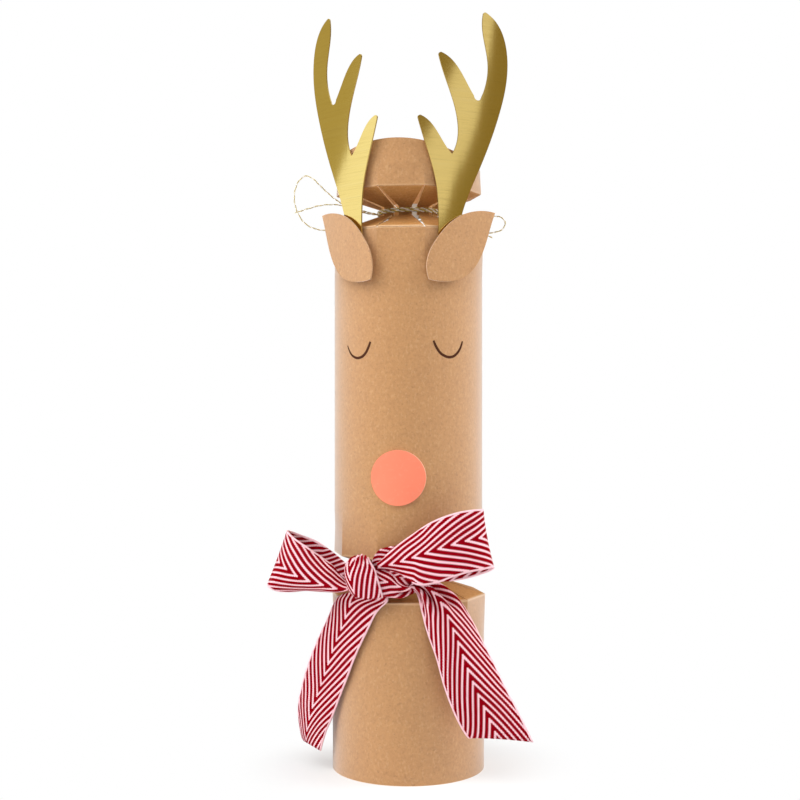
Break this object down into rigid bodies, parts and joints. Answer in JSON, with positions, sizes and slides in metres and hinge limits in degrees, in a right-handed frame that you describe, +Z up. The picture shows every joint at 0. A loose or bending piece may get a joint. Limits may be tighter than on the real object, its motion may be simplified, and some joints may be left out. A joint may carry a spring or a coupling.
{
  "type": "christmas cracker",
  "caption": "Kraft card cracker that stands on its open foot, with a reindeer face, foil antlers, ribbon bow and twine; its head pulls off and its strips fold open.",
  "frame": {"origin": "on the tube's axis, in the plane of the foot's rim", "axes": "+Z up along the tube, the face looks along -Y, +X to the viewer's right"},
  "size_m": [0.0865, 0.0597, 0.2469],
  "materials": {
    "kraft": "matte",
    "foil": "brushed metallic foil",
    "foam": "matte",
    "coral": "matte",
    "ribbon": "woven",
    "twine": "metallic thread",
    "snap_card": "matte",
    "tissue": "matte",
    "motto_paper": "matte",
    "beech": "waxed",
    "peg": "stained"
  },
  "bodies": {
    "barrel": {"barrel_card": "kraft", "foot_card": "kraft", "antler_left": "foil", "antler_right": "foil", "ear_left": "kraft", "ear_right": "kraft", "ear_pad_left": "foam", "ear_pad_right": "foam", "nose_disc": "coral", "ribbon_band": "ribbon", "ribbon_knot": "ribbon", "ribbon_loop_left": "ribbon", "ribbon_loop_right": "ribbon", "ribbon_tail_left": "ribbon", "ribbon_tail_right": "ribbon", "snap_lower_strip": "snap_card", "snap_sleeve": "tissue"},
    "head": {"head_card": "kraft", "twine_winding": "twine", "twine_knot": "twine", "twine_loop_left": "twine", "twine_loop_right": "twine", "twine_tail_left": "twine", "twine_tail_right": "twine", "snap_upper_strip": "snap_card"},
    "hat": {"hat_roll": "tissue", "hat_band": "motto_paper"},
    "motto": {"motto_slip": "motto_paper"},
    "top": {"top_body": "beech", "top_peg": "peg"},
    "petal_01": {"petal_01": "kraft"},
    "petal_02": {"petal_02": "kraft"},
    "petal_03": {"petal_03": "kraft"},
    "petal_04": {"petal_04": "kraft"},
    "petal_05": {"petal_05": "kraft"},
    "petal_06": {"petal_06": "kraft"},
    "petal_07": {"petal_07": "kraft"},
    "petal_08": {"petal_08": "kraft"},
    "petal_09": {"petal_09": "kraft"},
    "petal_10": {"petal_10": "kraft"}
  },
  "joints": [
    {"name": "head_pull", "type": "slide", "parent": "barrel", "child": "head", "axis": [0, 0, 1], "range_m": [0, 0.09]},
    {"name": "petal_01_fold", "type": "hinge", "parent": "barrel", "child": "petal_01", "pos_m": [0, -0.0235, 0.177], "axis": [1, 0, 0], "range_deg": [0, 68]},
    {"name": "petal_02_fold", "type": "hinge", "parent": "barrel", "child": "petal_02", "pos_m": [0.01381, -0.01901, 0.177], "axis": [0.809, 0.5878, 0], "range_deg": [0, 68]},
    {"name": "petal_03_fold", "type": "hinge", "parent": "barrel", "child": "petal_03", "pos_m": [0.02235, -0.00726, 0.177], "axis": [0.309, 0.9511, 0], "range_deg": [0, 68]},
    {"name": "petal_04_fold", "type": "hinge", "parent": "barrel", "child": "petal_04", "pos_m": [0.02235, 0.00726, 0.177], "axis": [-0.309, 0.9511, 0], "range_deg": [0, 68]},
    {"name": "petal_05_fold", "type": "hinge", "parent": "barrel", "child": "petal_05", "pos_m": [0.01381, 0.01901, 0.177], "axis": [-0.809, 0.5878, 0], "range_deg": [0, 68]},
    {"name": "petal_06_fold", "type": "hinge", "parent": "barrel", "child": "petal_06", "pos_m": [0, 0.0235, 0.177], "axis": [-1, 0, 0], "range_deg": [0, 68]},
    {"name": "petal_07_fold", "type": "hinge", "parent": "barrel", "child": "petal_07", "pos_m": [-0.01381, 0.01901, 0.177], "axis": [-0.809, -0.5878, 0], "range_deg": [0, 68]},
    {"name": "petal_08_fold", "type": "hinge", "parent": "barrel", "child": "petal_08", "pos_m": [-0.02235, 0.00726, 0.177], "axis": [-0.309, -0.9511, 0], "range_deg": [0, 68]},
    {"name": "petal_09_fold", "type": "hinge", "parent": "barrel", "child": "petal_09", "pos_m": [-0.02235, -0.00726, 0.177], "axis": [0.309, -0.9511, 0], "range_deg": [0, 68]},
    {"name": "petal_10_fold", "type": "hinge", "parent": "barrel", "child": "petal_10", "pos_m": [-0.01381, -0.01901, 0.177], "axis": [0.809, -0.5878, 0], "range_deg": [0, 68]},
    {"name": "hat_shake", "type": "slide", "parent": "barrel", "child": "hat", "axis": [0, 0, 1], "range_m": [0, 0.044]},
    {"name": "motto_shake", "type": "slide", "parent": "barrel", "child": "motto", "axis": [0, 0, 1], "range_m": [0, 0.062]},
    {"name": "top_shake", "type": "slide", "parent": "barrel", "child": "top", "axis": [0, 0, 1], "range_m": [0, 0.078]}
  ],
  "couplings": [
    {"joint": "petal_01_fold", "follows": "head_pull", "rad_per_m": 13.174},
    {"joint": "petal_02_fold", "follows": "head_pull", "rad_per_m": 13.174},
    {"joint": "petal_03_fold", "follows": "head_pull", "rad_per_m": 13.174},
    {"joint": "petal_04_fold", "follows": "head_pull", "rad_per_m": 13.174},
    {"joint": "petal_05_fold", "follows": "head_pull", "rad_per_m": 13.174},
    {"joint": "petal_06_fold", "follows": "head_pull", "rad_per_m": 13.174},
    {"joint": "petal_07_fold", "follows": "head_pull", "rad_per_m": 13.174},
    {"joint": "petal_08_fold", "follows": "head_pull", "rad_per_m": 13.174},
    {"joint": "petal_09_fold", "follows": "head_pull", "rad_per_m": 13.174},
    {"joint": "petal_10_fold", "follows": "head_pull", "rad_per_m": 13.174}
  ]
}
